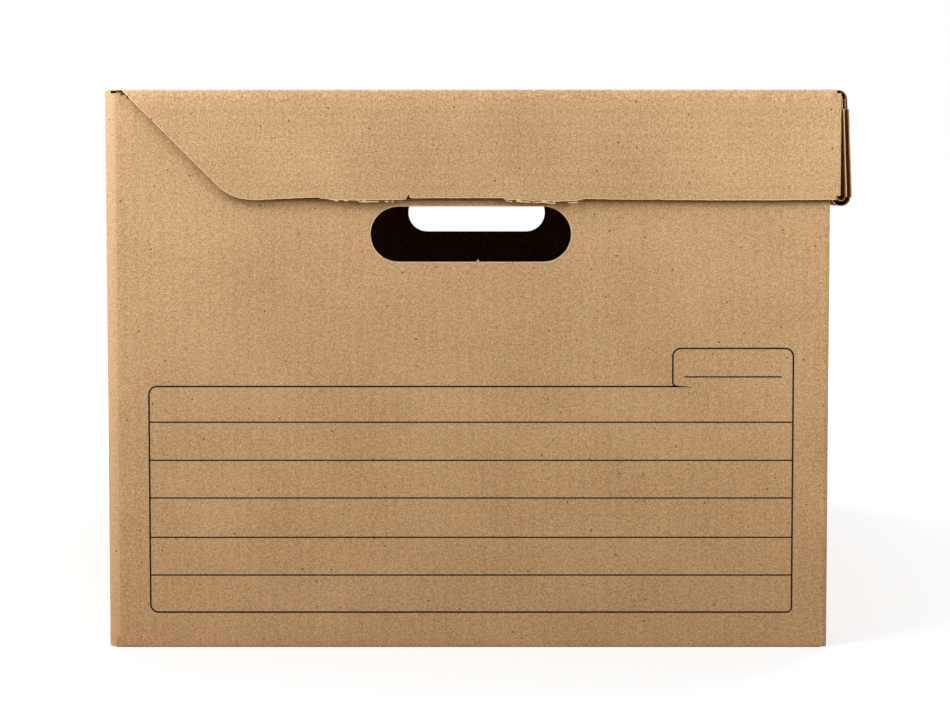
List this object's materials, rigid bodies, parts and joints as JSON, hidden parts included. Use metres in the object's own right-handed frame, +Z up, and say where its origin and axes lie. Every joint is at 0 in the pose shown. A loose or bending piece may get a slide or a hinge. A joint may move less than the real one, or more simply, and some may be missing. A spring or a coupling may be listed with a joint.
{
  "type": "archive storage box",
  "caption": "Folded corrugated-board storage box with a hinged lid that overlaps its walls, hand holes in the end walls and a ruled form; holds files.",
  "frame": {"origin": "on the floor, under the middle of the closed box's bounding box", "axes": "+X from the hinge wall to the opening wall, +Y from the printed near end wall to the far end wall, +Z up"},
  "size_m": [0.3852, 0.4468, 0.29],
  "materials": {
    "kraft_board": "matte",
    "printing_ink": "matte"
  },
  "bodies": {
    "box": {"near_end_wall": "kraft_board", "far_end_wall": "kraft_board", "hinge_wall": "kraft_board", "opening_wall": "kraft_board", "near_hinge_corner_crease": "kraft_board", "near_opening_corner_crease": "kraft_board", "far_hinge_corner_crease": "kraft_board", "glue_flap_crease": "kraft_board", "glue_flap": "kraft_board", "near_floor_crease": "kraft_board", "far_floor_crease": "kraft_board", "near_floor_flap": "kraft_board", "far_floor_flap": "kraft_board", "hinge_side_floor_crease": "kraft_board", "opening_side_floor_crease": "kraft_board", "lid_hinge_crease": "kraft_board"},
    "lid": {"lid_top": "kraft_board", "lid_front_crease": "kraft_board", "lid_front_outer_ply": "kraft_board", "lid_front_hem": "kraft_board", "lid_front_inner_ply": "kraft_board", "near_lid_flap": "kraft_board", "near_lid_crease": "kraft_board", "near_corner_tab": "kraft_board", "near_tab_crease": "kraft_board", "far_lid_flap": "kraft_board", "far_lid_crease": "kraft_board", "far_corner_tab": "kraft_board", "far_tab_crease": "kraft_board"},
    "hinge_floor_flap": {"hinge_side_inner_flap": "kraft_board"},
    "opening_floor_flap": {"opening_side_inner_flap": "kraft_board"}
  },
  "joints": [
    {"name": "lid_hinge", "type": "hinge", "parent": "box", "child": "lid", "pos_m": [-0.18957, 0, 0.287], "axis": [0, -1, 0], "range_deg": [0, 180]},
    {"name": "hinge_side_flap_fold", "type": "hinge", "parent": "box", "child": "hinge_floor_flap", "pos_m": [-0.18957, 0, 0.0064], "axis": [0, -1, 0], "range_deg": [0, 85]},
    {"name": "opening_side_flap_fold", "type": "hinge", "parent": "box", "child": "opening_floor_flap", "pos_m": [0.17943, 0, 0.0064], "axis": [0, 1, 0], "range_deg": [0, 85]}
  ]
}
